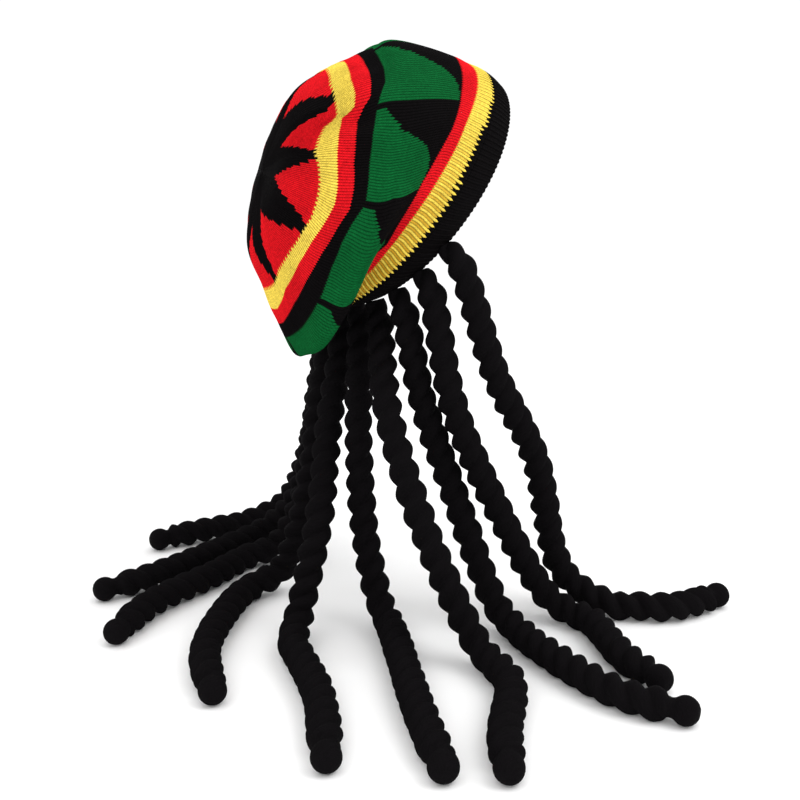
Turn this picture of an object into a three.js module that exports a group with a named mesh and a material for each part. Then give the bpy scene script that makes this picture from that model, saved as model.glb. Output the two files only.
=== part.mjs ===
// A slouchy knitted tam with ten twisted dreadlocks sewn round the back of its rim.
// Millimetres, +Z up. The wearer faces -Y, so +X is the wearer's left.
// The origin is the middle of the head opening, and the locks reach down to the surface the head stands on.
import * as THREE from 'three';

// Head opening: the rim's outer edge along its slope and across the head, and how far it leans back
const openingUp = 210;
const openingAcross = 188;
const openingLeanDegrees = 35;

// Knitted bag: its fullest section, and its depth from the opening to the crown's middle
const bagUp = 250;
const bagAcross = 225;
const bagDepth = 137;
const knitWall = 3;

// Ribbed band: the same knit, double and folded over at the rim
const bandWall = 5.5;

// Locks: two plies twisted together, gathered at the root and knotted at the tip.
// The valley between the plies is a share of the crests' radius.
const lockDiameter = 22;
const upperLockShare = 0.87;
const plyPitch = 34;
const rootDiameter = 14;
const rootTaper = 28;
const valleyShare = 0.74;
const knotDiameter = 18.5;
const neckDiameter = 12;

// Where the locks go: degrees round the rim of the first root and the step to the next,
// the drop from the opening's middle to the floor, and how far out the tips lie
const firstRootDegrees = 243;
const rootStepDegrees = -15;
const rootReach = 14;
const floorDrop = 346;
const lockSpread = 280;

// Clearance at the seams between pieces
const seamGap = 0.3;

// Mesh fineness: sides, heights of the crown's rings in sections, and steps along a lock and between sections
const bagSides = 30;
const bandSides = 40;
const INNER_RINGS = [9.2, 7.5, 5.5, 4, 2.5];
const OUTER_RINGS = [1.5, 2, 2.5, 3, 3.5, 4, 4.5, 5, 5.5, 6, 6.7, 7.4, 8.2, 9.1];
const lockSides = 6;
const ringsPerTwist = 6;
const curveSteps = 240;
const frameStep = 0.05;

// Sections of the bag's outer face, from the rim to the crown's middle.
// back and rise place the section's middle, as shares of the bag's depth. lean is a share of the opening's lean,
// and turn is in degrees. up and across are half sizes, as shares of the opening's half sizes or the bag's.
const SECTIONS = [
  { name: 'rim edge', of: 'opening', back: 0, rise: 0, lean: 1, turn: 0, up: 1, across: 1 },
  { name: 'band top', of: 'opening', back: 0.15, rise: 0.02, lean: 1, turn: 3, up: 1.08, across: 1.08 },
  { name: 'yellow rib', of: 'opening', back: 0.24, rise: 0.08, lean: 1.01, turn: 3, up: 1.04, across: 1.05 },
  { name: 'red ring', of: 'opening', back: 0.315, rise: 0.08, lean: 0.94, turn: 6, up: 1.06, across: 1.07 },
  { name: 'green swell', of: 'bag', back: 0.505, rise: -0.04, lean: 0.52, turn: 11, up: 1, across: 1 },
  { name: 'ridge', of: 'bag', back: 0.61, rise: -0.01, lean: 0.54, turn: 13, up: 0.905, across: 0.902 },
  { name: 'black ring', of: 'bag', back: 0.675, rise: 0.01, lean: 0.53, turn: 13, up: 0.837, across: 0.837 },
  { name: 'upper red ring', of: 'bag', back: 0.74, rise: 0.035, lean: 0.5, turn: 13, up: 0.765, across: 0.762 },
  { name: 'yellow ring', of: 'bag', back: 0.81, rise: 0.07, lean: 0.5, turn: 13, up: 0.673, across: 0.67 },
  { name: 'star rays', of: 'bag', back: 0.95, rise: 0.115, lean: 0.52, turn: 13, up: 0.444, across: 0.44 },
  { name: 'middle', of: 'bag', back: 1, rise: 0.12, lean: 0.52, turn: 13, up: 0, across: 0 },
];
const bandTop = SECTIONS.findIndex((section) => section.name === 'band top');
const ridge = SECTIONS.findIndex((section) => section.name === 'ridge');
const middle = SECTIONS.length - 1;

// Folds of the slack knit: where each lies, in sections up from the rim and degrees round from the front,
// its half lengths that way, and its depth as a share of the bag's depth, below zero where the cloth swells.
const FOLDS = [
  { section: 6.4, round: 299, along: 2.2, width: 10, depth: 0.05 },
  { section: 6.2, round: 317, along: 2, width: 15, depth: -0.035 },
  { section: 7.6, round: 262, along: 1.6, width: 14, depth: 0.02 },
  { section: 8.9, round: 236, along: 0.9, width: 22, depth: -0.03 },
  { section: 4.2, round: 205, along: 0.9, width: 20, depth: -0.025 },
  { section: 6.2, round: 60, along: 1.9, width: 14, depth: 0.03 },
];

// The ridge round the crown has a soft corner at each point of the star pattern
const ridgeCorners = 9;
const firstCornerDegrees = 303;
const cornerDepth = 0.012;

// Routes of the locks, from the wearer's right round the back to the left, as they lie fanned out.
// reach is a share of the spread, and turn is in degrees from straight back towards the wearer's right.
// fall is a share of the drop: the points that have none lie on the floor, and the last one is the tip.
const ROUTES = [
  {
    reach: [0.34, 0.38, 0.46, 0.61, 0.68, 0.78, 0.94],
    turn: [98, 122, 132, 130, 131, 133, 143],
    fall: [0.4, 0.61, 0.91],
  },
  {
    reach: [0.31, 0.32, 0.44, 0.52, 0.58, 0.78, 0.93],
    turn: [77, 103, 119, 119, 117, 104, 102],
    fall: [0.46, 0.71, 0.94],
  },
  {
    reach: [0.26, 0.25, 0.37, 0.49, 0.59, 0.89, 1.07],
    turn: [61, 82, 97, 95, 93, 93, 98],
    fall: [0.45, 0.67, 0.94],
  },
  {
    reach: [0.36, 0.46, 0.55, 0.7, 0.78, 0.95, 1.12],
    turn: [46, 63, 76, 78, 76, 71, 69],
    fall: [0.47, 0.74, 0.95],
  },
  {
    reach: [0.25, 0.26, 0.28, 0.34, 0.42, 0.83, 1.1],
    turn: [16, 23, 35, 45, 50, 59, 62],
    fall: [0.56, 0.79, 0.93],
  },
  {
    reach: [0.29, 0.38, 0.48, 0.58, 0.64, 0.8, 1.08],
    turn: [-4, 12, 15, 23, 30, 41, 48],
    fall: [0.54, 0.72, 0.94],
  },
  {
    reach: [0.3, 0.33, 0.42, 0.51, 0.56, 0.76, 0.91],
    turn: [-37, -31, -30, -23, -15, 10, 25],
    fall: [0.51, 0.71, 0.94],
  },
  {
    reach: [0.35, 0.42, 0.52, 0.58, 0.65, 0.81, 0.95],
    turn: [-64, -61, -57, -50, -32, -17, -5],
    fall: [0.5, 0.79, 0.95],
  },
  {
    reach: [0.43, 0.5, 0.63, 0.69, 0.72, 0.84, 0.99],
    turn: [-74, -69, -66, -54, -46, -31, -25],
    fall: [0.48, 0.82, 0.94],
  },
  {
    reach: [0.53, 0.59, 0.74, 0.8, 0.82, 0.87, 0.97],
    turn: [-87, -83, -81, -71, -66, -60, -51],
    fall: [0.36, 0.7, 0.92],
  },
];

// Finishes, with the colours of the yarns
const crownKnit = new THREE.MeshStandardMaterial({ color: '#10693a', roughness: 0.9, metalness: 0 });
const bandKnit = new THREE.MeshStandardMaterial({ color: '#0e0c0e', roughness: 0.92, metalness: 0 });
const lockYarn = new THREE.MeshStandardMaterial({ color: '#0c0b0c', roughness: 0.95, metalness: 0 });

const radians = THREE.MathUtils.degToRad;
const lerp = THREE.MathUtils.lerp;

// Smooth step from 0 to 1 as x goes from 0 to 1
function ease(x) {
  return THREE.MathUtils.smoothstep(x, 0, 1);
}

// Smooth hump: 1 at the middle, 0 beyond the half width
function hump(distance, halfWidth) {
  const share = Math.min(Math.abs(distance) / halfWidth, 1);
  return 0.5 + 0.5 * Math.cos(Math.PI * share);
}

// One size of one section in millimetres or degrees, carried on straight past both ends of the table
function sectionSize(size, i) {
  if (i < 0) return 2 * sectionSize(size, 0) - sectionSize(size, -i);
  if (i > middle) return 2 * sectionSize(size, middle) - sectionSize(size, 2 * middle - i);
  const section = SECTIONS[i];
  const ofOpening = section.of === 'opening';
  if (size === 'up') return (section.up * (ofOpening ? openingUp : bagUp)) / 2;
  if (size === 'across') return (section.across * (ofOpening ? openingAcross : bagAcross)) / 2;
  if (size === 'lean') return section.lean * openingLeanDegrees;
  if (size === 'turn') return section.turn;
  return section[size] * bagDepth;
}

// The same size between sections, on a Catmull-Rom curve through the table's values
function bagSize(size, v) {
  const i = Math.min(Math.floor(v), middle - 1);
  const t = v - i;
  const [a, b, c, d] = [i - 1, i, i + 1, i + 2].map((k) => sectionSize(size, k));
  return b + 0.5 * t * (c - a + t * (2 * a - 5 * b + 4 * c - d + t * (3 * (b - c) + d - a)));
}

// How far the folds and the ridge's corners push the knit outwards
function foldSwell(v, round) {
  const corner = Math.cos(radians(ridgeCorners * (round - firstCornerDegrees)));
  let swell = cornerDepth * corner * hump(v - ridge, 2.5);
  for (const fold of FOLDS) {
    const away = THREE.MathUtils.euclideanModulo(round - fold.round + 180, 360) - 180;
    swell -= fold.depth * hump(v - fold.section, fold.along) * hump(away, fold.width);
  }
  return swell * bagDepth;
}

// Point on the smooth outer face: v sections up from the rim, round degrees from the front over the wearer's left
function smoothPoint(v, round) {
  const lean = radians(bagSize('lean', v));
  const turn = radians(bagSize('turn', v));
  const axis = new THREE.Vector3(0, Math.cos(lean), Math.sin(lean));
  const up = new THREE.Vector3(0, -Math.sin(lean), Math.cos(lean));
  const across = new THREE.Vector3(Math.cos(turn), 0, 0).addScaledVector(axis, -Math.sin(turn));
  return new THREE.Vector3(0, bagSize('back', v), bagSize('rise', v))
    .addScaledVector(up, bagSize('up', v) * Math.cos(radians(round)))
    .addScaledVector(across, bagSize('across', v) * Math.sin(radians(round)));
}

// Directions on the outer face: round the bag, along it towards the crown's middle, and outwards
function faceFrame(v, round) {
  const last = middle - frameStep;
  const here = Math.min(v, last);
  const high = Math.min(v + frameStep, last);
  const low = Math.min(Math.max(v - frameStep, 0), high - frameStep);
  const around = smoothPoint(here, round + 1).sub(smoothPoint(here, round - 1));
  const along = smoothPoint(high, round).sub(smoothPoint(low, round));
  around.normalize();
  along.normalize();
  return { around, along, outward: around.clone().cross(along).normalize() };
}

// Point of the knit: on the outer face with its folds, or a depth inside it
function knitPoint(v, round, depth = 0) {
  const { outward } = faceFrame(v, round);
  return smoothPoint(v, round).addScaledVector(outward, foldSwell(v, round) - depth);
}

// Closed skin over rings of points: a ring of one point closes an end, and a loop joins the last ring to the first
function loft(rings, isLoop = false) {
  const positions = [];
  const starts = [];
  for (const ring of rings) {
    starts.push(positions.length / 3);
    ring.forEach((point) => positions.push(point.x, point.y, point.z));
  }
  const sides = Math.max(...rings.map((ring) => ring.length));
  const index = [];
  const bands = isLoop ? rings.length : rings.length - 1;
  for (let i = 0; i < bands; i += 1) {
    const next = (i + 1) % rings.length;
    const corner = (ring, j) => starts[ring] + (rings[ring].length === 1 ? 0 : j % sides);
    for (let j = 0; j < sides; j += 1) {
      if (rings[i].length > 1) index.push(corner(i, j), corner(i, j + 1), corner(next, j + 1));
      if (rings[next].length > 1) index.push(corner(i, j), corner(next, j + 1), corner(next, j));
    }
  }
  const geometry = new THREE.BufferGeometry();
  geometry.setAttribute('position', new THREE.Float32BufferAttribute(positions, 3));
  geometry.setIndex(index);
  geometry.computeVertexNormals();
  return geometry;
}

// Ring of knit points at one height and depth
function knitRing(v, depth, sides, lift = 0) {
  return Array.from({ length: sides }, (_, j) => {
    const round = (360 * j) / sides;
    return knitPoint(v, round, depth).addScaledVector(faceFrame(v, round).along, lift);
  });
}

// Crown: one hollow wall of knit, from the inside of its middle down to its edge and up again outside
function crownGeometry() {
  return loft([
    [knitPoint(middle, 0, knitWall)],
    ...INNER_RINGS.map((v) => knitRing(v, knitWall, bagSides)),
    knitRing(bandTop, knitWall, bagSides, seamGap),
    knitRing(bandTop, 0, bagSides, seamGap),
    ...OUTER_RINGS.map((v) => knitRing(v, 0, bagSides)),
    [knitPoint(middle, 0)],
  ]);
}

// Band: a thick flat hoop whose lower edge is folded round, its outer face going on into the crown's
const BAND_PROFILE = [
  { v: 0, depth: 0.5 },
  { v: 0.06, depth: 0.12 },
  { v: 0.5, depth: -0.08 },
  { v: 1, depth: 0 },
  { v: 1, depth: 1 },
  { v: 0.06, depth: 0.88 },
];

// Heights on the band, as shares of it, that a lock's root may rest on
const SEAT_HEIGHTS = [0, 0.06, 0.15, 0.3];

function bandGeometry() {
  return loft(BAND_PROFILE.map(({ v, depth }) => knitRing(v * bandTop, depth * bandWall, bandSides)), true);
}

// Depth of the band's outer face at a height, as a share of its wall, along the straight lines of its profile
function bandDepth(v) {
  const next = BAND_PROFILE.findIndex((row) => row.v >= v && row.v > 0);
  const [low, high] = [BAND_PROFILE[next - 1], BAND_PROFILE[next]];
  return lerp(low.depth, high.depth, (v - low.v) / (high.v - low.v));
}

// Where a lock is sewn on: a point just clear of the band's folded edge, and the way the lock leaves it
function lockRoot(round) {
  const { around, along } = faceFrame(0, round);
  const leave = new THREE.Vector3(0, 0, -1);
  leave.addScaledVector(around, -leave.dot(around));
  leave.addScaledVector(along, -Math.max(leave.dot(along), 0));
  leave.normalize();
  const edge = knitPoint(0, round, bandWall / 2);
  const seat = SEAT_HEIGHTS.map((v) => {
    return knitPoint(v * bandTop, round, bandDepth(v) * bandWall).sub(edge).dot(leave);
  });
  return { point: edge.addScaledVector(leave, Math.max(...seat) + seamGap), leave };
}

// Point at a reach and turn round the opening's middle, at a height
function fanPoint(reach, turn, height) {
  const angle = radians(turn);
  return new THREE.Vector3(-Math.sin(angle), Math.cos(angle), 0).multiplyScalar(reach * lockSpread).setZ(height);
}

// Middle line of one lock, from its root to the end of its knot
function lockLine(route, round) {
  const { point, leave } = lockRoot(round);
  const tip = route.reach.length - 1;
  const laid = (reach, i) => {
    const radius = (i === tip ? knotDiameter : lockDiameter) / 2;
    const height = i < route.fall.length ? -route.fall[i] * floorDrop : radius - floorDrop;
    return fanPoint(reach, route.turn[i], height);
  };
  const points = [point, point.clone().addScaledVector(leave, rootReach), ...route.reach.map(laid)];
  return new THREE.CatmullRomCurve3(points, false, 'centripetal');
}

// Radius of the twisted body at a distance from the root: gathered there, and fullest on the floor
function lockRadius(distance, length) {
  const full = (lockDiameter / 2) * lerp(upperLockShare, 1, ease((2 * distance) / length));
  return lerp(rootDiameter / 2, full, ease(distance / rootTaper));
}

// Sections of the knot at the tip: how far along it, as a share of its length, and how thick
const KNOT = [
  { along: 0.02, size: neckDiameter },
  { along: 0.4, size: 0.96 * knotDiameter },
  { along: 0.82, size: 0.8 * knotDiameter },
];

// Lock: two plies twisted together. Each ring has a crest for either ply, one side further round at each ring.
function lockGeometry(route, round) {
  const line = lockLine(route, round);
  const length = line.getLength();
  const bodyLength = length - knotDiameter;
  const steps = Math.round(bodyLength / (plyPitch / ringsPerTwist));
  const rings = [];
  for (let i = 0; i <= steps; i += 1) {
    const distance = (bodyLength * i) / steps;
    const radius = lockRadius(distance, length);
    rings.push({ distance, radius: (j) => radius * ((j - i) % (lockSides / 2) === 0 ? 1 : valleyShare) });
  }
  for (const { along, size } of KNOT) {
    rings.push({ distance: bodyLength + along * knotDiameter, radius: () => size / 2 });
  }

  const frames = line.computeFrenetFrames(curveSteps, false);
  const ringPoints = rings.map(({ distance, radius }) => {
    const share = distance / length;
    const frame = Math.round(share * curveSteps);
    const middlePoint = line.getPointAt(share);
    return Array.from({ length: lockSides }, (_, j) => {
      const angle = (2 * Math.PI * j) / lockSides;
      return middlePoint.clone()
        .addScaledVector(frames.normals[frame], radius(j) * Math.cos(angle))
        .addScaledVector(frames.binormals[frame], radius(j) * Math.sin(angle));
    });
  });
  return loft([[line.getPointAt(0)], ...ringPoints, [line.getPointAt(1)]]);
}

function piece(name, geometry, material) {
  const mesh = new THREE.Mesh(geometry, material);
  mesh.name = name;
  return mesh;
}

const tam = new THREE.Group();
tam.add(piece('crown', crownGeometry(), crownKnit));
tam.add(piece('rim_band', bandGeometry(), bandKnit));
ROUTES.forEach((route, i) => {
  const name = `lock_${String(i + 1).padStart(2, '0')}`;
  tam.add(piece(name, lockGeometry(route, firstRootDegrees + i * rootStepDegrees), lockYarn));
});

export default tam;
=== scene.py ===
# %% [markdown]
# A rasta tam: a slack, round bag of striped knitting with a ribbed band, and ten thick twisted locks sewn
# round the back of its rim. It is shown as a head would hold it, with the locks hanging and fanned out on the
# floor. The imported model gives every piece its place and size. This lesson gives each piece its yarn: the
# real knitting has a stitch every two millimetres or so, and the shapes below are worked out at that scale.

# %% load the frame
import math

import bpy
import numpy as np
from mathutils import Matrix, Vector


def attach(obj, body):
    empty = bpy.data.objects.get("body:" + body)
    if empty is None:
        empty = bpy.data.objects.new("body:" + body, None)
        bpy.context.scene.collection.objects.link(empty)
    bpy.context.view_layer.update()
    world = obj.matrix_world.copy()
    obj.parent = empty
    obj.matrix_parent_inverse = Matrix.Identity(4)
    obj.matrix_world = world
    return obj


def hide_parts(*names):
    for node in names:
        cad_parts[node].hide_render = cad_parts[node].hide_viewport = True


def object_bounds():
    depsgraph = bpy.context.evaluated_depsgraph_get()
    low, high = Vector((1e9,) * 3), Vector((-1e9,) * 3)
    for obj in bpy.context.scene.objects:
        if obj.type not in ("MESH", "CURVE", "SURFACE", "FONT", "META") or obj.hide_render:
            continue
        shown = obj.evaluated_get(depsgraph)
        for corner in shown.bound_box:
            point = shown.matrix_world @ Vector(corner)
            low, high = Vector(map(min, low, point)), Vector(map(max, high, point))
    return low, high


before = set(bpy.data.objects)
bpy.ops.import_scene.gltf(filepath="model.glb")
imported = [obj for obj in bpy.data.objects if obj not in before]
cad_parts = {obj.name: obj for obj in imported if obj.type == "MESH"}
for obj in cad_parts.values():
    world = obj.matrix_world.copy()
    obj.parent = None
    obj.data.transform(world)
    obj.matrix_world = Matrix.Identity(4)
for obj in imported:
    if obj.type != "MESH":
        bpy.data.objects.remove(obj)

CAD_BOX = [list(corner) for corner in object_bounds()]
MM = 0.001
FLOOR = CAD_BOX[0][2]
print("CAD box in metres", CAD_BOX)

# %% [markdown]
# The tam's own measurements come first, because everything is worked out from them: the head opening, which
# leans back, the bag behind it, and the locks. Lengths are in millimetres, as a maker would write them.

# %% measurements
OPENING_UP, OPENING_ACROSS, OPENING_LEAN = 210.0, 188.0, 35.0
BAG_UP, BAG_ACROSS, BAG_DEPTH = 250.0, 225.0, 137.0
KNIT_WALL, BAND_WALL = 3.0, 5.5
LOCK_DIAMETER, UPPER_LOCK_SHARE, PLY_PITCH = 22.0, 0.92, 34.0
ROOT_DIAMETER, ROOT_TAPER, ROOT_REACH = 14.0, 20.0, 14.0
KNOT_DIAMETER, NECK_DIAMETER = 18.5, 12.0
FIRST_ROOT, ROOT_STEP = 243.0, -15.0
FLOOR_DROP, LOCK_SPREAD = 346.0, 280.0
SEAM_GAP = 0.3
REPEATS = 9
WALES = 34 * REPEATS
COURSE = 1.8
WALES_PER_RIB = 2
print("wales round the bag", WALES, "and ribs round the band", WALES // WALES_PER_RIB)

# %% [markdown]
# The bag's outer face is a stack of eleven tilted ovals, from the rim to the middle of the crown. Height on the
# bag is counted in sections, 0 at the rim and 10 in the middle, and the way round in degrees, 0 at the front
# of the rim, 90 at the wearer's left. A Catmull-Rom curve through each column of the table gives a smooth face.

# %% sections of the bag
SECTIONS = {
    "back": [0, 0.15, 0.24, 0.315, 0.505, 0.61, 0.675, 0.74, 0.81, 0.95, 1],
    "rise": [0, 0.02, 0.08, 0.08, -0.04, -0.01, 0.01, 0.035, 0.07, 0.115, 0.12],
    "lean": [1, 1, 1.01, 0.94, 0.52, 0.54, 0.53, 0.5, 0.5, 0.52, 0.52],
    "turn": [0, 3, 3, 6, 11, 13, 13, 13, 13, 13, 13],
    "up": [1, 1.08, 1.04, 1.06, 1, 0.905, 0.837, 0.765, 0.673, 0.444, 0],
    "across": [1, 1.08, 1.05, 1.07, 1, 0.902, 0.837, 0.762, 0.67, 0.44, 0],
}
# Heights at which a ring of the pattern ends. The domes and triangles end at the ridge
BAND_TOP, RIBS_TOP, RED_TOP, RIDGE = 1, 2, 3, 5
BLACK_TOP, CROWN_RED_TOP, CROWN_YELLOW_TOP, MIDDLE = 6, 7, 8, 10
ON_OPENING = 4
HALF = {"up": (OPENING_UP / 2, BAG_UP / 2), "across": (OPENING_ACROSS / 2, BAG_ACROSS / 2)}
FACE_STEP = 0.05


def section_values(size):
    """One column in millimetres or degrees. Sections below ON_OPENING are shares of the opening's half size."""
    shares = np.array(SECTIONS[size], float)
    if size in HALF:
        opening, bag = HALF[size]
        return shares * np.where(np.arange(len(shares)) < ON_OPENING, opening, bag)
    return shares * {"back": BAG_DEPTH, "rise": BAG_DEPTH, "lean": OPENING_LEAN, "turn": 1.0}[size]


def bag_size(size, v):
    """Catmull-Rom curve through the column at heights v, carried on past both ends by mirroring."""
    values = section_values(size)
    row = np.concatenate([[2 * values[0] - values[1]], values, [2 * values[-1] - values[-2]]])
    i = np.minimum(np.floor(v), MIDDLE - 1).astype(int)
    t = v - i
    a, b, c, d = row[i], row[i + 1], row[i + 2], row[i + 3]
    return b + 0.5 * t * (c - a + t * (2 * a - 5 * b + 4 * c - d + t * (3 * (b - c) + d - a)))


def smooth_point(v, turn):
    """Oval of height v: its middle, plus up times cos(turn), plus across times sin(turn)."""
    v, turn = np.broadcast_arrays(np.asarray(v, float), np.asarray(turn, float))
    lean, swing = np.radians(bag_size("lean", v)), np.radians(bag_size("turn", v))
    zero = np.zeros_like(v)
    axis = np.stack([zero, np.cos(lean), np.sin(lean)], -1)
    up = np.stack([zero, -np.sin(lean), np.cos(lean)], -1)
    across = np.stack([np.cos(swing), zero, zero], -1) - np.sin(swing)[..., None] * axis
    middle = np.stack([zero, bag_size("back", v), bag_size("rise", v)], -1)
    high = (bag_size("up", v) * np.cos(np.radians(turn)))[..., None] * up
    wide = (bag_size("across", v) * np.sin(np.radians(turn)))[..., None] * across
    return middle + high + wide


def unit(vectors):
    """Vectors of length one, the same way."""
    return vectors / np.maximum(np.linalg.norm(vectors, axis=-1, keepdims=True), 1e-12)


def face_ways(v, turn):
    """Ways on the face: along towards the middle, and outwards, square to it and to the way round.

    Both come from points a FACE_STEP above and below and a degree to each side.
    """
    last = MIDDLE - FACE_STEP
    v = np.asarray(v, float)
    here, high = np.minimum(v, last), np.minimum(v + FACE_STEP, last)
    low = np.minimum(np.maximum(v - FACE_STEP, 0), high - FACE_STEP)
    around = unit(smooth_point(here, turn + 1) - smooth_point(here, turn - 1))
    along = unit(smooth_point(high, turn) - smooth_point(low, turn))
    return along, unit(np.cross(around, along))


right_side = smooth_point(np.linspace(0, MIDDLE, 200), 270.0)
right_length = np.linalg.norm(np.diff(right_side, axis=0), axis=1).sum()
print("rim to middle along the right side, mm:", round(float(right_length)))

# %% [markdown]
# The knit is slack, so it folds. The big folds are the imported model's own: one deep pleat where the bag hangs
# over on the wearer's right, and softer dents round the rest. The ridge round the crown has a soft corner at
# each of the nine points of the star. Finer ripples, a few tenths of a millimetre, only show in the light.

# %% folds
FOLDS = [
    # height, degrees round, half length along, half width in degrees, depth as a share of the bag's depth
    (6.4, 299, 2.2, 10, 0.05),
    (6.2, 317, 2.0, 15, -0.035),
    (7.6, 262, 1.6, 14, 0.02),
    (8.9, 236, 0.9, 22, -0.03),
    (4.2, 205, 0.9, 20, -0.025),
    (6.2, 60, 1.9, 14, 0.03),
]
FIRST_CORNER, CORNER_DEPTH, CORNER_REACH = 303.0, 0.012, 2.5
RIPPLES = [
    # waves round the bag, radians for each section up it, start in radians, height in millimetres
    (7, 1.4, 0.6, 0.5),
    (11, -2.1, 2.0, 0.35),
    (17, 3.2, 4.1, 0.2),
]
RIPPLE_START, RIPPLE_FADE = 1.5, 2


def hump(distance, half_width):
    """Smooth hump: 1 in the middle, 0 past the half width, half a cosine wave between."""
    return 0.5 + 0.5 * np.cos(np.pi * np.minimum(np.abs(distance) / half_width, 1))


def fold_swell(v, turn):
    """How far the corners and folds push the face out, in millimetres."""
    corner = np.cos(np.radians(REPEATS * (turn - FIRST_CORNER)))
    swell = CORNER_DEPTH * corner * hump(v - RIDGE, CORNER_REACH)
    for height, middle, along, width, depth in FOLDS:
        away = (turn - middle + 180) % 360 - 180
        swell = swell - depth * hump(v - height, along) * hump(away, width)
    return swell * BAG_DEPTH


def ripple(v, turn):
    """Sum of slow waves round and up the bag, none at the seam with the band or in the middle."""
    total = 0.0
    for around, along, start, height in RIPPLES:
        total = total + height * np.sin(np.radians(around * turn) + along * v + start)
    below = np.clip((v - RIPPLE_START) / RIPPLE_FADE, 0, 1)
    return total * below * np.clip((MIDDLE - v) / RIPPLE_FADE, 0, 1)


def knit_point(v, turn, depth=0.0, raised=0.0):
    """Point of the knit in millimetres: the oval's point, pushed out by the folds, less a depth, plus relief."""
    outward = face_ways(v, turn)[1]
    push = fold_swell(v, turn) + ripple(v, turn) - depth + raised
    return smooth_point(v, turn) + push[..., None] * outward


swells = fold_swell(*np.meshgrid(np.linspace(0, MIDDLE, 101), np.arange(0.0, 360)))
print("folds and corners, mm:", round(float(swells.min()), 1), "in and", round(float(swells.max()), 1), "out")

# %% [markdown]
# On a slack bag the rings of colour don't stay level: the knit sags between the places that hold it, so an edge
# drifts up or down from its oval, and the wales are dragged round into the deep pleat. Two tables say how far,
# for the side that shows. Between their heights the pull is shared out in straight lines, so it is the real
# rows of stitches that bend, and the chart further down stays as regular as a knitter's.

# %% drift and twist
# How far each edge of colour is pulled off its oval: by its height, rows of degrees round and heights up
DRIFT = {
    BAND_TOP: [(0, 0)],
    RIBS_TOP: [(222, -0.25), (234, 0.05), (248, 0.22), (292, 0.24), (307, 0.05), (318, -0.1), (336, -0.25),
               (360, 0)],
    RED_TOP: [(212, 0), (236, -0.56), (244, -0.26), (255, 0), (266, 0.1), (277, 0.04), (289, -0.08),
              (303, -0.08), (330, 0)],
    RIDGE: [(218, 0), (228, 0.05), (239, 0.26), (250, 0.2), (258, 0), (266, -0.28), (273, -0.13), (281, 0.08),
            (291, 0.2), (301, 0.23), (306, 0.08), (313, -0.16), (326, -0.04), (341, 0.14), (358, 0)],
    BLACK_TOP: [(190, 0), (209, 0.5), (227, 0.49), (242, 0.28), (254, -0.17), (262, -0.66), (269, -0.5),
                (279, 0.07), (288, 0.22), (299, 0.49), (304, 0.13), (307, -0.38), (313, -0.41), (332, -0.05),
                (351, 0.1), (365, 0)],
    CROWN_RED_TOP: [(190, 0), (210, 0.48), (229, 0.48), (243, 0.21), (253, -0.12), (262, -0.42), (268, -0.3),
                    (275, -0.06), (283, 0.24), (294, 0.42), (301, 0.45), (305, -0.36), (310, -0.39),
                    (320, -0.12), (344, 0)],
    CROWN_YELLOW_TOP: [(200, 0), (212, 0.11), (231, 0.05), (243, -0.1), (251, -0.25), (259, -0.16), (268, -0.1),
                       (274, 0.02), (281, 0.26), (289, 0.23), (296, 0.14), (302, -0.28), (309, -0.19),
                       (323, 0.02), (350, 0)],
    9.6: [(0, 0)],
}
# How far the wales are dragged round, by height, rows of degrees round and degrees. The crown's twist is the same
# from its first height to its last
CROWN_TWIST = [(203, 0), (243, 2), (283, -3), (322, -14), (345, 0)]
TWIST = {
    RED_TOP: [(0, 0)],
    4: [(198, 0), (223, 9), (245, 4), (263, 6), (292, 0)],
    RIDGE: [(200, 0), (223, 2), (263, 3.5), (290, 0)],
    CROWN_RED_TOP: [(0, 0)],
    8.3: CROWN_TWIST,
    9.9: CROWN_TWIST,
}


def table_at(table, turn):
    """Straight lines between the table's rows, going on round from the last to the first."""
    return np.interp(turn, *zip(*table), period=360)


def shared(tables, v, turn):
    """Sum of the tables at a turn, each with the weight 1 at its own height and 0 from the next one's on."""
    levels = list(tables)
    total = 0.0
    for level, table in tables.items():
        weight = np.interp(v, levels, [float(other == level) for other in levels])
        total = total + weight * table_at(table, turn)
    return total


def pulled(v, turn):
    """Height and turn on the face of the stitch that the chart has at v and turn."""
    dragged = turn + shared(TWIST, v, turn)
    return v + shared(DRIFT, v, dragged), dragged


drift_there = pulled(float(RIDGE), np.array([240.0, 266.0]))[0] - RIDGE
print("the colour edge at the ridge drifts, at 240 and 266 degrees, by sections:", drift_there.round(2))

# %% [markdown]
# Every piece here is a grid of points, rows by columns, that closes round its columns. One function turns such
# a grid into a mesh. It also writes the UV map that the stitches are drawn by, one unit to a stitch, and
# a colour for each face, the way each stitch of the real knitting is of one yarn.

# %% grids to meshes
def signed_volume(mesh):
    """Sum over the triangles of a . (b x c) / 6, above zero where the faces point outwards."""
    mesh.calc_loop_triangles()
    at = np.empty(len(mesh.vertices) * 3)
    mesh.vertices.foreach_get("co", at)
    index = np.empty(len(mesh.loop_triangles) * 3, np.int32)
    mesh.loop_triangles.foreach_get("vertices", index)
    a, b, c = at.reshape(-1, 3)[index.reshape(-1, 3)].transpose(1, 0, 2)
    return float(np.einsum("ij,ij->", a, np.cross(b, c)) / 6)


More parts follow.
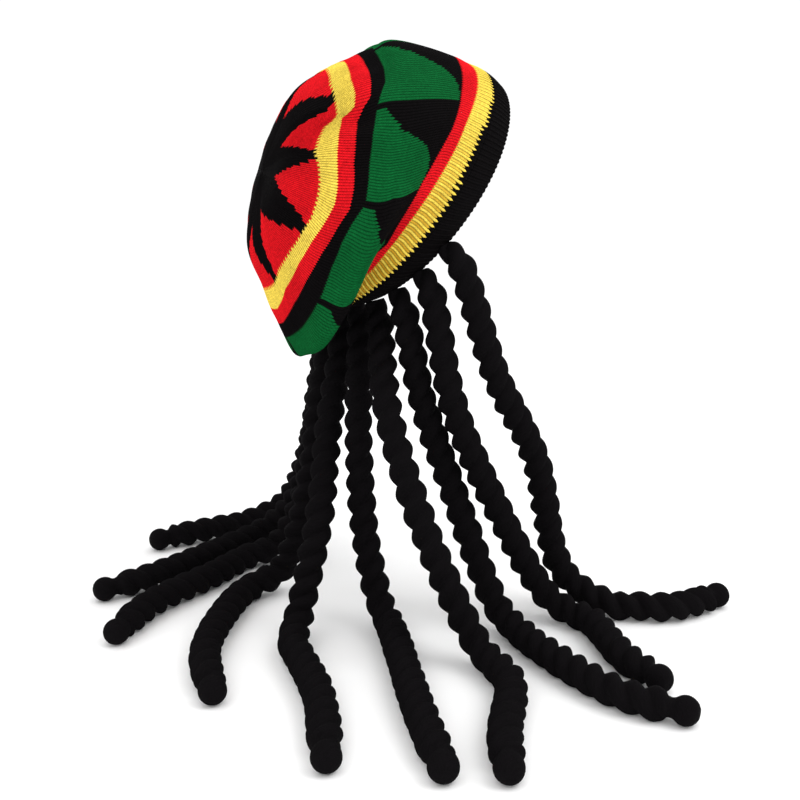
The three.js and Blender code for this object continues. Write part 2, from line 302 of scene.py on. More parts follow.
def closed_mesh(name, rows, ring_rows=False, uv_step=(1.0, 1.0), colours=None):
    """Mesh of a grid of points (rows, columns, 3) in millimetres, joined round its columns.

    ring_rows joins the last row to the first, as round a hoop. Otherwise each end closes on a point in its
    middle. The UV of a corner is its column and row times uv_step. colours has one colour for each quad.
    """
    count, sides = rows.shape[:2]
    column = np.arange(sides)
    beside = (column + 1) % sides
    low = np.arange(count if ring_rows else count - 1)[:, None]
    high = (low + 1) % count
    quads = [low * sides + column, low * sides + beside, high * sides + beside, high * sides + column]
    points, faces = rows.reshape(-1, 3), np.stack(quads, -1).reshape(-1, 4).tolist()
    u, v = np.broadcast_arrays(column, low)
    corners = np.stack([u, v, u + 1, v, u + 1, v + 1, u, v + 1], -1).reshape(-1, 2).astype(float)
    if not ring_rows:
        points = np.vstack([points, rows[0].mean(0), rows[-1].mean(0)])
        for tip, (row, before, after) in enumerate([(0, 1, 0), (count - 1, 0, 1)], count * sides):
            pair = [row * sides + (column + step) % sides for step in (before, after)]
            faces += np.stack([*pair, np.full(sides, tip)], -1).tolist()
            level = np.full(sides, row)
            fan = [column + before, level, column + after, level, column + 0.5, level + after - before]
            corners = np.vstack([corners, np.stack(fan, -1).reshape(-1, 2)])
    mesh = bpy.data.meshes.new(name)
    mesh.from_pydata((points * MM).tolist(), [], faces)
    mesh.uv_layers.new(name="stitches").data.foreach_set("uv", (corners * uv_step).ravel())
    if colours is not None:
        yarn = np.repeat(colours.reshape(-1, 3), 4, axis=0)
        if not ring_rows:
            yarn = np.vstack([yarn, np.repeat(colours[0], 3, axis=0), np.repeat(colours[-1], 3, axis=0)])
        layer = mesh.color_attributes.new("yarn", "FLOAT_COLOR", "CORNER")
        layer.data.foreach_set("color", np.hstack([yarn, np.ones((len(yarn), 1))]).ravel())
    mesh.shade_smooth()
    piece = bpy.data.objects.new(name, mesh)
    bpy.context.scene.collection.objects.link(piece)
    if signed_volume(mesh) < 0:
        mesh.flip_normals()
    triangles = sum(len(face) - 2 for face in faces)
    print(name, triangles, "triangles,", round(abs(signed_volume(mesh)) * 1e6), "cubic centimetres")
    return piece


# %% [markdown]
# The pattern is knitted in, so it is a chart: for each stitch, the yarn it is made of. Rings of colour follow
# the ovals. Between the red ring and the ridge, nine black triangles stand between nine green domes. On the
# crown, a black star with nine rays lies on red. The two are worked out as curves, then read once for each
# stitch, which gives them the stepped edges of real knitting.

# %% the yarns and the chart
def srgb(text):
    """Linear red, green and blue from a six-figure sRGB colour."""
    c = np.array([int(text[i : i + 2], 16) for i in (1, 3, 5)]) / 255
    return np.where(c <= 0.04045, c / 12.92, ((c + 0.055) / 1.055) ** 2.4)


GREEN, RED, YELLOW, BLACK = srgb("#0A5729"), srgb("#D6161F"), srgb("#EBCE52"), srgb("#0B090A")
# Painted shade: darker golden yellow on the purl wales of the ribs, for their grooves and the fold's shadow
PAINTED_SHADE_GOLD = srgb("#C08A1E")
# Domes: where they start, as a share of the way up, then how fast they open and the widest they get, as shares
# of a repeat
DOME_START, DOME_WIDTH, DOME_FULL = 0.02, 1.08, 0.965
# Star: half a ray's width at its tip and what it gains by its foot, in millimetres, and the height of the foot
RAY_TIP, RAY_BASE, STAR_MIDDLE = 3.0, 10.8, 9.3
# How much later each second wale changes colour, and as much earlier the rest, in sections
TOOTH = 0.06
# Where the yellow of the ribs begins, by degrees round, and how much painted shade darkens the purl wales' yellow
YELLOW_EDGE = [(0, 1.0), (200, 1.1), (228, 1.18), (262, 1.2), (290, 1.26), (318, 1.06)]
PURL_PAINTED_SHADE = [(0, 0.1), (225, 0.9), (262, 0.55), (295, 0.1)]


def chart(v, turn):
    """Yarn of the stitches at heights v and turns round, as linear colours.

    place counts repeats of the pattern: whole at the tips of the black triangles, half way between on the rays.
    A dome is green for place % 1 < width * sqrt(rise). Round the star, a stitch is red where it is further from
    its ray's middle line than half the ray's width, both as shares of half a repeat.
    """
    place = (turn - FIRST_CORNER) * REPEATS / 360
    from_ray = 2 * np.abs(place % 1 - 0.5)
    toothed = v + TOOTH * np.where(np.floor(turn * WALES / 360) % 2 == 0, 1.0, -1.0)
    opened = np.clip((v - RED_TOP) / (RIDGE - RED_TOP) - DOME_START, 0, 1)
    dome = np.minimum(DOME_WIDTH * np.sqrt(opened), DOME_FULL)
    rise = np.clip((toothed - CROWN_YELLOW_TOP) / (STAR_MIDDLE - CROWN_YELLOW_TOP), 0, 1)
    arc = math.pi * (bag_size("up", v) + bag_size("across", v)) / (2 * REPEATS)
    ray = (RAY_TIP + RAY_BASE * rise) / np.maximum(arc, 1)
    colour = np.broadcast_to(BLACK, v.shape + (3,)).copy()
    for inside, yarn in [
        ((toothed >= table_at(YELLOW_EDGE, turn)) & (v < RIBS_TOP), YELLOW),
        ((v >= RIBS_TOP) & (v < RED_TOP), RED),
        ((v >= RED_TOP) & (v < RIDGE) & (place % 1 < dome), GREEN),
        ((v >= BLACK_TOP) & (v < CROWN_RED_TOP), RED),
        ((v >= CROWN_RED_TOP) & (toothed < CROWN_YELLOW_TOP), YELLOW),
        ((toothed >= CROWN_YELLOW_TOP) & (toothed < STAR_MIDDLE) & (from_ray > ray), RED),
    ]:
        colour[inside] = yarn
    return colour


sample = chart(*np.meshgrid(np.linspace(BAND_TOP, MIDDLE, 90), np.arange(0.5, WALES) * 360 / WALES))
for yarn_name, yarn in [("green", GREEN), ("red", RED), ("yellow", YELLOW), ("black", BLACK)]:
    print(yarn_name, "share of the chart", round(float((sample == yarn).all(-1).mean()), 2))

# %% [markdown]
# The crown is one hollow wall of stocking stitch. Two columns of the mesh make a wale, one on its round crest
# and one in the groove beside it, and one row makes a course. The crests lie half a course lower than the
# grooves, so each stitch is the little V of real knitting, and so is every colour edge. Low on the bag, above
# the band, each second wale stands out as a rib and fades away upwards.

# %% crown
# Half the heights of a wale's crest and of a rib over the groove beside it, in millimetres, and how far a crest
# is moved down and its groove up, as a share of a course
CREST, RIB_HEIGHT, V_SHAPE = 0.26, 0.42, 0.45
# All in sections: where the last course and the end of a crest lie before the middle, where the inside starts,
# over what height the crests sink before the middle, and over what height the Vs grow above the band
LAST_COURSE, LAST_CREST, INSIDE_START = 0.06, 0.02, 0.3
CREST_FADE, V_GROWTH = 1.5, 0.1
INNER_ROWS = 14
# The ribs shrink in a straight ramp to nothing at RED_TOP, and a steeper ramp thins them there to FAINT_SHARE
RIB_FADE, FAINT_SLOPE, FAINT_END, FAINT_SHARE = 1.6, 1.2, 2.9, 0.25
FINE_HEIGHTS, MERIDIANS = 600, 12


def turns_round(columns):
    """Degrees of the columns, evenly spaced from the front."""
    return np.arange(columns) * 360 / columns


def rib_wave(turn):
    """1 on the crest of each rib, -1 in the groove beside it."""
    ribs = WALES / WALES_PER_RIB
    return np.cos(2 * np.pi * (turn * ribs / 360 - 0.25))


def rib_share(v):
    """How strongly the ribs stand out at height v, from 0 to 1: the two straight ramps multiplied."""
    return np.clip((RED_TOP - v) / RIB_FADE, 0, 1) * np.clip(FAINT_SLOPE * (FAINT_END - v), FAINT_SHARE, 1)


def even_heights(start, stop, step):
    """Heights from start to stop, evenly spaced along the cloth by about step millimetres."""
    fine = np.linspace(start, stop, FINE_HEIGHTS)
    line = smooth_point(fine[:, None], turns_round(MERIDIANS)[None, :])
    length = np.concatenate([[0], np.linalg.norm(np.diff(line, axis=0), axis=2).mean(1).cumsum()])
    return np.interp(np.linspace(0, length[-1], round(length[-1] / step) + 1), length, fine)


def outer_face(outer, turn, groove):
    """Points of the outside: courses at heights outer, columns at turns.

    groove is 1 on a groove's column and -1 on a crest's. A point's height is its course's plus groove times
    V_SHAPE of a course, and its relief is -groove times CREST, or the ribs' wave where there are ribs.
    """
    step = np.gradient(outer)[:, None]
    fade = np.clip((MIDDLE - outer) / CREST_FADE, 0, 1)[:, None]
    growth = np.clip((outer - BAND_TOP) / V_GROWTH, 0, 1)[:, None]
    v = np.clip(outer[:, None] + V_SHAPE * step * groove * fade * growth, BAND_TOP, MIDDLE - LAST_CREST)
    rib = rib_share(outer)[:, None]
    wale = -CREST * groove * fade * (1 - np.clip(rib, 0, 1))
    raised = wale + RIB_HEIGHT * rib * rib_wave(turn)[None, :]
    return knit_point(*pulled(v, np.broadcast_to(turn, v.shape)), 0.0, raised)


def inner_face(inner, turn):
    """Points of the inside: the face's own at heights inner, one wall thickness in."""
    v = np.repeat(inner[:, None], len(turn), 1)
    return knit_point(*pulled(v, np.broadcast_to(turn, v.shape)), KNIT_WALL)


def crown_yarns(heights, columns):
    """The chart read once for each course and wale, with painted shade mixed into the yellow of the purl wales.
    """
    wale = np.arange(columns) // 2
    turn = (wale + 0.5) * 360 / WALES
    v = np.repeat(heights[:, None], columns, 1)
    yarns = chart(v, np.broadcast_to(turn, v.shape))
    is_purl_rib = (wale % 2 == 1)[None, :] & (v < RIBS_TOP)
    painted_shade_share = (table_at(PURL_PAINTED_SHADE, turn)[None, :] * is_purl_rib)[..., None]
    is_yellow = (yarns == YELLOW).all(-1)[..., None]
    return yarns, np.where(is_yellow, YELLOW + (PAINTED_SHADE_GOLD - YELLOW) * painted_shade_share, yarns)


def crown_piece():
    """Rows from the middle of the inside out to the seam with the band, then back to the middle outside."""
    columns = 2 * WALES
    turn = turns_round(columns)
    groove = np.where(np.arange(columns) % 2 == 0, 1.0, -1.0)
    outer = even_heights(BAND_TOP, MIDDLE - LAST_COURSE, COURSE)
    inner = np.linspace(MIDDLE - INSIDE_START, BAND_TOP, INNER_ROWS)
    print("crown has", len(outer), "courses")
    outside_yarns = crown_yarns((outer[1:] + outer[:-1]) / 2, columns)[1]
    inside_yarns = crown_yarns(inner, columns)[0]
    rows = np.concatenate([inner_face(inner, turn), outer_face(outer, turn, groove)])
    return closed_mesh("crown_knit", rows, uv_step=(0.5, 1.0),
                       colours=np.concatenate([inside_yarns, outside_yarns]))


crown = crown_piece()

# %% [markdown]
# The band is the same knitting in one by one rib, double and folded round at the rim, so it is a thick, springy
# hoop. Its section runs down the outside, round the fold and up the inside, and every rib stands out of both.

# %% rim band
BAND_SIDES_PER_RIB = 6
BAND_ROWS, FOLD_ROWS = 13, 9
# Height where the fold starts, the outside's bulge as a share of the wall, and the least share of a rib there is
FOLD_SHARE, BAND_BULGE, LEAST_RIB = 0.12, 0.08, 0.3


def band_section():
    """Heights, depths and sides of the hoop's section: down the outside, half a circle, up the inside.

    side is 1 outside and -1 inside, and the cosine of the way round the fold between them.
    """
    down = np.linspace(1, FOLD_SHARE, BAND_ROWS)
    bend = np.linspace(0, np.pi, FOLD_ROWS)[1:-1]
    v = np.concatenate([down, FOLD_SHARE * (1 - np.sin(bend)), down[::-1]])
    bulge = BAND_BULGE * np.sin(np.pi * (1 - down) / (1 - FOLD_SHARE))
    depth = np.concatenate([-bulge, 0.5 - 0.5 * np.cos(bend), 1 + 0 * down])
    side = np.concatenate([1 + 0 * down, np.cos(bend), -1 + 0 * down])
    return v, depth * BAND_WALL, side


def band_piece():
    """The section carried round the rim. The ribs' wave lifts a point off the face, and off the fold's end."""
    columns = BAND_SIDES_PER_RIB * WALES // WALES_PER_RIB
    turn = turns_round(columns)
    height, depth, side = band_section()
    v = np.repeat(height[:, None], columns, 1)
    turns = np.broadcast_to(turn, v.shape)
    rib = RIB_HEIGHT * rib_wave(turn)[None, :]
    raised = rib * np.sign(side)[:, None] * np.clip(np.abs(side), LEAST_RIB, 1)[:, None]
    points = knit_point(v, turns, depth[:, None] + 0 * v, raised)
    points -= (rib * (1 - np.abs(side))[:, None])[..., None] * face_ways(v, turns)[0]
    black = np.broadcast_to(BLACK, v.shape + (3,))
    return closed_mesh("band_rib", points, ring_rows=True, uv_step=(2 / BAND_SIDES_PER_RIB, 1.0), colours=black)


band = band_piece()

# %% [markdown]
# A lock is two thick plies of felted yarn twisted round each other. Its middle line leaves the rim, hangs, and
# runs out over the floor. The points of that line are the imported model's own, as shares of the spread and of
# the drop, and they are turned into a smooth curve with a ring of points at every step along it.

# %% routes of the locks
ROUTES = [
    # reach as a share of the spread; degrees from straight back towards the right; fall as a share of the drop
    ([0.34, 0.38, 0.46, 0.61, 0.68, 0.78, 0.94], [98, 122, 132, 130, 131, 133, 143], [0.4, 0.61, 0.91]),
    ([0.31, 0.32, 0.44, 0.52, 0.58, 0.78, 0.93], [77, 103, 119, 119, 117, 104, 102], [0.46, 0.71, 0.94]),
    ([0.26, 0.25, 0.37, 0.49, 0.59, 0.89, 1.07], [61, 82, 97, 95, 93, 93, 98], [0.45, 0.67, 0.94]),
    ([0.36, 0.46, 0.55, 0.7, 0.78, 0.95, 1.12], [46, 63, 76, 78, 76, 71, 69], [0.47, 0.74, 0.95]),
    ([0.25, 0.26, 0.28, 0.34, 0.42, 0.83, 1.1], [16, 23, 35, 45, 50, 59, 62], [0.56, 0.79, 0.93]),
    ([0.29, 0.38, 0.48, 0.58, 0.64, 0.8, 1.08], [-4, 12, 15, 23, 30, 41, 48], [0.54, 0.72, 0.94]),
    ([0.3, 0.33, 0.42, 0.51, 0.56, 0.76, 0.91], [-37, -31, -30, -23, -15, 10, 25], [0.51, 0.71, 0.94]),
    ([0.35, 0.42, 0.52, 0.58, 0.65, 0.81, 0.95], [-64, -61, -57, -50, -32, -17, -5], [0.5, 0.79, 0.95]),
    ([0.43, 0.5, 0.63, 0.69, 0.72, 0.84, 0.99], [-74, -69, -66, -54, -46, -31, -25], [0.48, 0.82, 0.94]),
    ([0.53, 0.59, 0.74, 0.8, 0.82, 0.87, 0.97], [-87, -83, -81, -71, -66, -60, -51], [0.36, 0.7, 0.92]),
]
# Outer face of the band near its fold, as heights and depths in shares of it, where a root may rest
SEATS = [(0, 0.5), (0.06, 0.12), (0.15, 0.0791), (0.3, 0.0109)]
RING_STEP = 1.45


def plain_knit_point(v, turn, depth):
    """Point of the face with its folds alone, less a depth."""
    v = np.asarray(v, float)
    return smooth_point(v, turn) + (fold_swell(v, turn) - depth) * face_ways(v, turn)[1]


def lock_root(turn):
    """Where a lock is sewn on, just clear of the band's fold, and the way it leaves."""
    along, outward = face_ways(0.0, turn)
    around = np.cross(along, outward)
    leave = np.array([0, 0, -1.0])
    leave = leave - (leave @ around) * around
    leave = unit(leave - max(leave @ along, 0) * along)
    edge = plain_knit_point(0.0, turn, BAND_WALL / 2)
    seat = max((plain_knit_point(v, turn, depth * BAND_WALL) - edge) @ leave for v, depth in SEATS)
    return edge + (seat + SEAM_GAP) * leave, leave


def smooth_curve(points, per_span=60):
    """Centripetal Catmull-Rom curve: every span is a cubic that meets its neighbours' slopes."""
    p = np.array([2 * points[0] - points[1], *points, 2 * points[-1] - points[-2]])
    gap = np.maximum(np.linalg.norm(np.diff(p, axis=0), axis=1), 1e-9)[:, None] ** 0.5
    a, b, c, d = p[:-3], p[1:-2], p[2:-1], p[3:]
    before, here, after = gap[:-2], gap[1:-1], gap[2:]
    leave = ((b - a) / before - (c - a) / (before + here) + (c - b) / here) * here
    arrive = ((c - b) / here - (d - b) / (here + after) + (d - c) / after) * here
    t = (np.arange(per_span) / per_span)[None, :, None]
    b, c, leave, arrive = (x[:, None] for x in (b, c, leave, arrive))
    line = b + leave * t + (3 * (c - b) - 2 * leave - arrive) * t**2 + (2 * (b - c) + leave + arrive) * t**3
    return np.vstack([line.reshape(-1, 3), points[-1]])


def lock_line(number):
    """Middle line of a lock, from its root to the end of its knot.

    Gives its points, about RING_STEP apart, and how far along the line each of them is.
    """
    reach, turn, fall = (np.array(column, float) for column in ROUTES[number])
    root, leave = lock_root(FIRST_ROOT + number * ROOT_STEP)
    height = np.full(len(reach), LOCK_DIAMETER / 2 - FLOOR_DROP)
    height[-1] = KNOT_DIAMETER / 2 - FLOOR_DROP
    height[: len(fall)] = -fall * FLOOR_DROP
    out = reach * LOCK_SPREAD
    route = np.stack([-np.sin(np.radians(turn)) * out, np.cos(np.radians(turn)) * out, height], -1)
    line = smooth_curve(np.vstack([root, root + ROOT_REACH * leave, route]))
    length = np.concatenate([[0], np.linalg.norm(np.diff(line, axis=0), axis=1).cumsum()])
    at = np.linspace(0, length[-1], round(length[-1] / RING_STEP))
    return np.stack([np.interp(at, length, line[:, k]) for k in range(3)], -1), at


def steady_frames(line):
    """Two ways square to the line that never spin round it, and the way along it.

    A first pair is taken square to a fixed way. How fast it spins about the line, summed along it, is taken
    back.
    """
    along = unit(np.gradient(line, axis=0))
    flat = unit(along.mean(0))
    fixed = unit(np.cross(flat, [0, 0, 1.0]))
    side = unit(fixed - (along @ fixed)[:, None] * along)
    other = np.cross(along, side)
    spin = np.einsum("ij,ij->i", np.diff(side, axis=0), (other[1:] + other[:-1]) / 2)
    back = -np.concatenate([[0], np.arcsin(np.clip(spin, -1, 1)).cumsum()])[:, None]
    return np.cos(back) * side + np.sin(back) * other, np.cos(back) * other - np.sin(back) * side, along


# %% [markdown]
# Each section of a lock is the outline of two overlapping circles, which turns once in every 34 mm, so the
# creases between the plies wind down the lock and its outline is a row of round lobes. Felted yarn has a nap
# that stands out from it, and its upper part isn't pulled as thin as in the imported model, so the locks are
# a little fuller here. Near the end the two circles become one, first as a neck and then as a round knot.

# %% locks
LOCK_SIDES = 28
# How far each ply's middle lies from the lock's, as a share of the radius, and the nap's height in millimetres
PLY_OFFSET, NAP = 0.28, 1.2
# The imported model's plies turn by a sixth of a turn from ring to ring, and their number is rounded to that
CAD_RINGS_PER_TWIST = 6
# As shares of the knot's length: the slope into the neck, and the ball's middle, half length and hidden start
NECK_SLOPE, BALL_MIDDLE, BALL_HALF, BALL_START = 0.3, 0.5, 0.53, 0.2
# Millimetres before the knot where the plies start to become one, and over how many they do
MERGE_BEFORE, MERGE_LENGTH = 3, 4
# Unevenness of the felt: share of the radius, two slow waves in radians for each millimetre along, and how far
# the second of them is moved from one lock to the next
UNEVEN, QUICK_WAVE, SLOW_WAVE, WAVE_SHIFT = 0.022, 0.21, 0.083, 1.7


def ease(x):
    """Smooth step from 0 to 1 as x goes from 0 to 1."""
    x = np.clip(x, 0, 1)
    return x * x * (3 - 2 * x)


def ply_outline(angle):
    """Radius of two overlapping circles, as a share of the lock's.

    It is offset times |cos| plus the root of radius squared less (offset times sin) squared, where a circle's
    radius is 1 less its offset.
    """
    radius = 1 - PLY_OFFSET
    return PLY_OFFSET * np.abs(np.cos(angle)) + np.sqrt(radius**2 - (PLY_OFFSET * np.sin(angle)) ** 2)


def lock_radius(at, length):
    """Radius in millimetres: gathered at the root, fuller towards the floor, then a neck and a round knot."""
    full = LOCK_DIAMETER / 2 * (UPPER_LOCK_SHARE + (1 - UPPER_LOCK_SHARE) * ease(2 * at / length))
    body = ROOT_DIAMETER / 2 + (full - ROOT_DIAMETER / 2) * ease(at / ROOT_TAPER)
    past = (at - (length - KNOT_DIAMETER)) / KNOT_DIAMETER
    neck = NECK_DIAMETER / 2
    body = neck + (body - neck) * ease(-past / NECK_SLOPE)
    ball = KNOT_DIAMETER / 2 * np.sqrt(np.clip(1 - ((past - BALL_MIDDLE) / BALL_HALF) ** 2, 0, 1))
    return np.where(past < 0, body, np.maximum(ball, neck * (past < BALL_START)))


def start_angle(first, second, along):
    """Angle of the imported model's first crest: square to its line and to the axis of XYZ least along it."""
    least = np.eye(3)[np.argmin(np.abs(along))]
    crest = np.cross(along, unit(np.cross(along, least)))
    return math.atan2(crest @ second, crest @ first)


def lock_piece(number):
    """Ring of points round each point of the line: radius times outline, at the way round plus the twist.

    The twist grows evenly along the lock. Points that the nap would push through the floor lie on it.
    """
    line, at = lock_line(number)
    length = at[-1]
    first, second, along = steady_frames(line)
    body = length - KNOT_DIAMETER
    turns = round(body / (PLY_PITCH / CAD_RINGS_PER_TWIST)) / CAD_RINGS_PER_TWIST
    twist = 2 * np.pi * turns * at / body + start_angle(first[0], second[0], along[0])
    around = 2 * np.pi * np.arange(LOCK_SIDES) / LOCK_SIDES
    angle = twist[:, None] + around[None, :]
    knotted = ease((at - body + MERGE_BEFORE) / MERGE_LENGTH)[:, None]
    outline = ply_outline(around)[None, :] * (1 - knotted) + knotted
    quick = np.sin(QUICK_WAVE * at[:, None] + 2 * around + number)
    slow = np.sin(SLOW_WAVE * at[:, None] + WAVE_SHIFT * number)
    uneven = 1 + UNEVEN * quick * slow
    nap = NAP * ease(0.5 + at / ROOT_TAPER)
    radius = (lock_radius(at, length) + nap)[:, None] * outline * uneven
    points = (line[:, None] + (radius * np.cos(angle))[..., None] * first[:, None]
              + (radius * np.sin(angle))[..., None] * second[:, None])
    points[..., 2] = np.maximum(points[..., 2], FLOOR / MM)
    return closed_mesh(f"twisted_lock_{number + 1:02d}", points, uv_step=(1 / LOCK_SIDES, RING_STEP / PLY_PITCH))


locks = [lock_piece(number) for number in range(len(ROUTES))]

# %% [markdown]
# Now the finishes. The knitting is acrylic yarn: dyed, slightly fuzzy and quite matt. The locks are the same
# kind of yarn in black, brushed until it felts. One small function adds a node with its settings and its links,
# so that each material reads as a list of what is done to the surface.

# %% how a material is made
MATHS = "ShaderNodeMath"


def add(tree, kind, *inputs, **named):
    """Adds a node. inputs fill its sockets in order, and named values are its own or go to a socket of that name.

    A value is a number, a node whose first output is meant, or an output of a node, which is linked.
    """
    node = tree.nodes.new(kind)
    own = [key for key in named if hasattr(node, key)]
    for key in own:
        setattr(node, key, named[key])
    sockets = {key.replace("_", " "): value for key, value in named.items() if key not in own}
    for key, value in [*enumerate(inputs), *sockets.items()]:
        source = value.outputs[0] if isinstance(value, bpy.types.Node) else value
        if isinstance(source, bpy.types.NodeSocket):
            tree.links.new(source, node.inputs[key])
        else:
            node.inputs[key].default_value = source
    return node


def new_material(name, **sockets):
    """Material with its own Principled shader, whose plain values are set by socket name."""
    material = bpy.data.materials.new(name)
    material.use_nodes = True
    shader = material.node_tree.nodes["Principled BSDF"]
    for key, value in sockets.items():
        shader.inputs[key.replace("_", " ")].default_value = value
    return material, material.node_tree, shader


def from_edge(tree, position):
    """0 in the middle of each unit of a UV direction and 1 on its edges: |2 * fraction - 1|."""
    doubled = add(tree, MATHS, add(tree, MATHS, position, operation="FRACT"), 2.0, operation="MULTIPLY")
    return add(tree, MATHS, add(tree, MATHS, doubled, 1.0, operation="SUBTRACT"), operation="ABSOLUTE")


# %% [markdown]
# The knit's yarn is drawn by the stitch: the UV map gives a wale and a course a unit each. A line dips in
# between two wales, where the yarn does, and a fainter one between two courses, and painted shade darkens both.
# Over that come the fuzz of the fibres and the patches that dye leaves. Their sizes are real: a spot of fuzz
# is about 2 mm, as wide as the yarn, and a patch about 24 mm.

# %% knitted yarn
FUZZ_SPOTS, PATCH_SPOTS = 0.52 / MM, 0.042 / MM
WALE_EDGE, COURSE_EDGE = 2.5, 4.0
WALE_SHARE, COURSE_SHARE = 0.7, 0.3


def knit_material():
    """Acrylic double knitting yarn, spun, dyed and machine knitted.

    The eye sees grooves between the wales, darkened with painted shade, a fainter line across at each course, a
    matt, slightly fuzzy surface and yarn whose dye is a little lighter here and darker there.
    """
    material, tree, shader = new_material("acrylic_yarn_knitted", Roughness=0.95, Specular_IOR_Level=0.03)
    split = add(tree, "ShaderNodeSeparateXYZ", add(tree, "ShaderNodeUVMap", uv_map="stitches"))
    wale_edge = add(tree, MATHS, from_edge(tree, split.outputs[0]), WALE_EDGE, operation="POWER")
    course_edge = add(tree, MATHS, from_edge(tree, split.outputs[1]), COURSE_EDGE, operation="POWER")
    across = add(tree, MATHS, wale_edge, WALE_SHARE, operation="MULTIPLY")
    course = add(tree, MATHS, course_edge, COURSE_SHARE, operation="MULTIPLY")
    lines = add(tree, MATHS, across, course, operation="ADD")
    stitch = add(tree, MATHS, 1.0, lines, operation="SUBTRACT")
    place = add(tree, "ShaderNodeTexCoord").outputs["Object"]
    fuzz = add(tree, "ShaderNodeTexNoise", Vector=place, Scale=FUZZ_SPOTS, Detail=3.0, Roughness=0.7)
    patch = add(tree, "ShaderNodeTexNoise", Vector=place, Scale=PATCH_SPOTS, Detail=3.0)
    height = add(tree, MATHS, stitch, add(tree, MATHS, fuzz, 0.45, operation="MULTIPLY"), operation="ADD")
    bump = add(tree, "ShaderNodeBump", Strength=0.75, Distance=0.6 * MM, Height=height)
    # Painted shade: the yarn's colour is darkened along the grooves between wales and, more faintly, between
    # courses
    stitch_shade = add(tree, MATHS, stitch, 0.95, 0.13, operation="MULTIPLY_ADD")
    # The fuzz and the dye patches below are the yarn's own random tone
    fuzz_tone = add(tree, MATHS, fuzz, 1.2, 0.42, operation="MULTIPLY_ADD")
    dye_patch_tone = add(tree, MATHS, patch, 0.5, 0.77, operation="MULTIPLY_ADD")
    fuzz_and_dye_tone = add(tree, MATHS, fuzz_tone, dye_patch_tone, operation="MULTIPLY")
    groove_shade_and_tone = add(tree, MATHS, stitch_shade, fuzz_and_dye_tone, operation="MULTIPLY")
    yarn = add(tree, "ShaderNodeVertexColor", layer_name="yarn")
    shaded = add(tree, "ShaderNodeVectorMath", yarn, Scale=groove_shade_and_tone, operation="SCALE")
    tree.links.new(shaded.outputs[0], shader.inputs["Base Color"])
    tree.links.new(bump.outputs[0], shader.inputs["Normal"])
    return material


# %% [markdown]
# The felt of the locks is drawn along the plies: the UV map goes once round a lock and once along each turn of
# its twist. Across, 46 fibres go round the 69 mm of the lock, one each 1.5 mm, and along they are 9 to a turn,
# nearly 4 mm long. They are drawn that coarse because single fibres are too fine to show.

# %% felted yarn
FIBRES_ROUND, FIBRES_ALONG = 46.0, 9.0
LOCK_FUZZ_SPOTS = 1.1 / MM


def lock_material():
    """Black acrylic yarn, brushed and felted, in two twisted plies.

    The eye sees a deep, matt black with short fibres that run along each ply, and a faint grey bloom.
    """
    material, tree, shader = new_material("felted_yarn_black", Roughness=0.95, Specular_IOR_Level=0.04)
    uv = add(tree, "ShaderNodeUVMap", uv_map="stitches")
    stretched = add(tree, "ShaderNodeMapping", Vector=uv, Scale=(FIBRES_ROUND, FIBRES_ALONG, 1.0))
    fibre = add(tree, "ShaderNodeTexNoise", Vector=stretched, Scale=1.0, Detail=3.0, Roughness=0.65)
    place = add(tree, "ShaderNodeTexCoord").outputs["Object"]
    fuzz = add(tree, "ShaderNodeTexNoise", Vector=place, Scale=LOCK_FUZZ_SPOTS, Detail=2.0)
    height = add(tree, MATHS, fibre, add(tree, MATHS, fuzz, 0.5, operation="MULTIPLY"), operation="ADD")
    bump = add(tree, "ShaderNodeBump", Strength=0.8, Distance=0.7 * MM, Height=height)
    colour = add(tree, "ShaderNodeMix", fibre, data_type="RGBA")
    colour.inputs[6].default_value = (*srgb("#070607"), 1)
    colour.inputs[7].default_value = (*srgb("#131113"), 1)
    tree.links.new(colour.outputs[2], shader.inputs["Base Color"])
    tree.links.new(bump.outputs[0], shader.inputs["Normal"])
    return material


knitted, felted = knit_material(), lock_material()
for piece, material in [(crown, knitted), (band, knitted), *((lock, felted) for lock in locks)]:
    piece.data.materials.append(material)
print("materials", knitted.name, felted.name)

# %% [markdown]
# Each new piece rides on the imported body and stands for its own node, which is then hidden.

# %% places in the frame
for piece, node, slot in [
    (crown, "crown", "striped_knit"),
    (band, "rim_band", "black_rib_knit"),
    *((lock, f"lock_{number + 1:02d}", "black_lock_yarn") for number, lock in enumerate(locks)),
]:
    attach(piece, "root")
    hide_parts(node)
    print(piece.name, "stands for", node, "and is of", slot)

# %% [markdown]
# The stage is a studio's: a white floor that runs out of view, a bright surround, and large soft lights, so
# that the only shadows are the faint grey ones beside the locks.

# %% floor
FLOOR_HALF = 6.0
PAPER_WHITE = 0.97
PAPER_GRAIN_SPOTS = 0.3 / MM


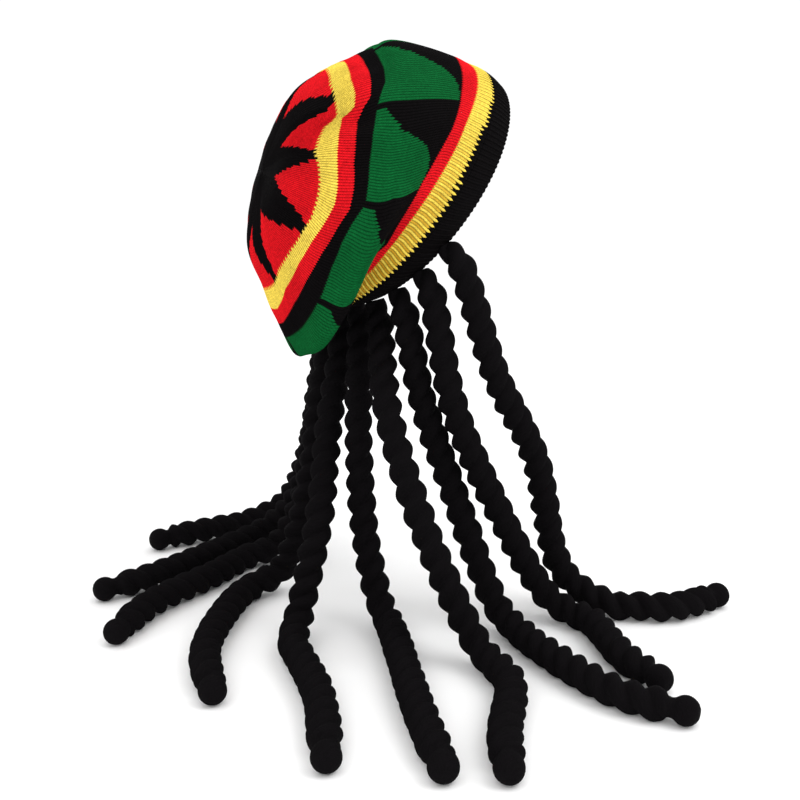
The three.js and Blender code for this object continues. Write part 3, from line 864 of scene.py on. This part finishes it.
def floor_piece():
    """Flat square of matt white paper under the locks, with the faint grain of its fibres, spots of 3 mm."""
    corners = [(x * FLOOR_HALF, y * FLOOR_HALF, FLOOR) for x, y in ((-1, -1), (1, -1), (1, 1), (-1, 1))]
    mesh = bpy.data.meshes.new("studio_floor")
    mesh.from_pydata(corners, [], [(0, 1, 2, 3)])
    material, tree, shader = new_material("white_paper", Roughness=0.95, Specular_IOR_Level=0.1)
    place = add(tree, "ShaderNodeTexCoord").outputs["Object"]
    grain = add(tree, "ShaderNodeTexNoise", Vector=place, Scale=PAPER_GRAIN_SPOTS, Detail=2.0)
    bump = add(tree, "ShaderNodeBump", Strength=0.05, Distance=0.2 * MM, Height=grain)
    tree.links.new(bump.outputs[0], shader.inputs["Normal"])
    shader.inputs["Base Color"].default_value = (PAPER_WHITE, PAPER_WHITE, PAPER_WHITE, 1)
    mesh.materials.append(material)
    floor = bpy.data.objects.new("studio_floor", mesh)
    bpy.context.scene.collection.objects.link(floor)


floor_piece()
print("floor at", round(FLOOR / MM, 1), "mm")

# %% lights
TARGET = (0.0, 0.05, -0.1)
SURROUND = 1.06


def look(way):
    """Turns of an object whose -Z looks along a way, with its own X level."""
    return (math.acos(-way[2]), 0.0, math.atan2(way[1], way[0]) - math.pi / 2)


def soft_light(name, at, towards, size, power):
    """Square soft box at a point in metres, turned towards another, with its power in watts."""
    box = bpy.data.lights.new(name, "AREA")
    box.size, box.energy = size, power
    light = bpy.data.objects.new(name, box)
    light.location = at
    light.rotation_euler = look(unit(np.array(towards, float) - np.array(at, float)))
    bpy.context.scene.collection.objects.link(light)


soft_light("key_soft_box", (-1.1, -0.9, 1.5), TARGET, 1.4, 17)
soft_light("fill_soft_box", (-0.9, 1.6, 0.9), TARGET, 1.6, 6)
soft_light("top_soft_box", (0.3, 0.2, 2.2), TARGET, 2.2, 9)
world = bpy.data.worlds.new("white_surround")
world.use_nodes = True
world.node_tree.nodes["Background"].inputs[0].default_value = (1, 1, 1, 1)
world.node_tree.nodes["Background"].inputs[1].default_value = SURROUND
bpy.context.scene.world = world
print("three soft boxes and a surround of strength", SURROUND)

# %% [markdown]
# The camera stands where the photograph's stood: level with the bag, behind the wearer's right, looking a
# little down. Its tilt was worked out from how the locks grow thinner towards the horizon.

# %% camera
CAMERA_AT = (-0.7785, 0.4773, 0.0410)
CAMERA_WAY = np.array([0.8379, -0.4953, -0.2301])
LENS, SENSOR = 50.0, 36.0

camera_data = bpy.data.cameras.new("photo_camera")
camera_data.lens, camera_data.sensor_width = LENS, SENSOR
camera = bpy.data.objects.new("photo_camera", camera_data)
camera.location = CAMERA_AT
camera.rotation_euler = look(unit(CAMERA_WAY))
bpy.context.scene.collection.objects.link(camera)
bpy.context.scene.camera = camera
bpy.context.scene.view_settings.view_transform = "Standard"
print("camera looks down by", round(math.degrees(math.asin(-unit(CAMERA_WAY)[2])), 1), "degrees")
